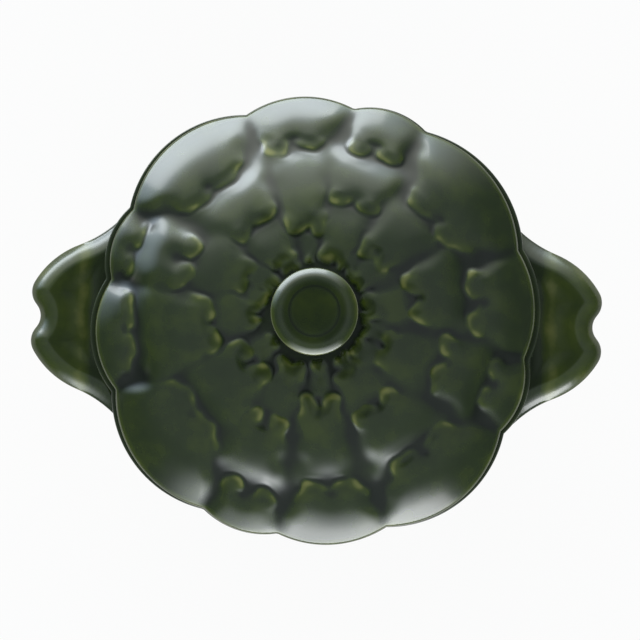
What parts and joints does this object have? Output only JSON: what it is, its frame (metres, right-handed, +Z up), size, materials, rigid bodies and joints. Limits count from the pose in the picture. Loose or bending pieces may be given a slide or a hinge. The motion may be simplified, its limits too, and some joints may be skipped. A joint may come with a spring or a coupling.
{
  "type": "covered dutch oven",
  "caption": "Small glazed stoneware dutch oven shaped like an artichoke, with a domed lid of overlapping lobed bracts, a round knob and two leaf-shaped side handles.",
  "frame": {"origin": "centre of the foot ring's resting face, under the middle of the pot", "axes": "+Z up along the axis of pot, lid and knob; +X through the two side handles; +Y across them"},
  "size_m": [0.166, 0.1297, 0.0975],
  "materials": {
    "pot_glaze": "glossy translucent olive green glaze over stoneware",
    "lid_glaze": "glossy translucent olive green glaze over stoneware"
  },
  "bodies": {
    "root": {"pot": "pot_glaze", "lid": "lid_glaze"}
  },
  "joints": []
}
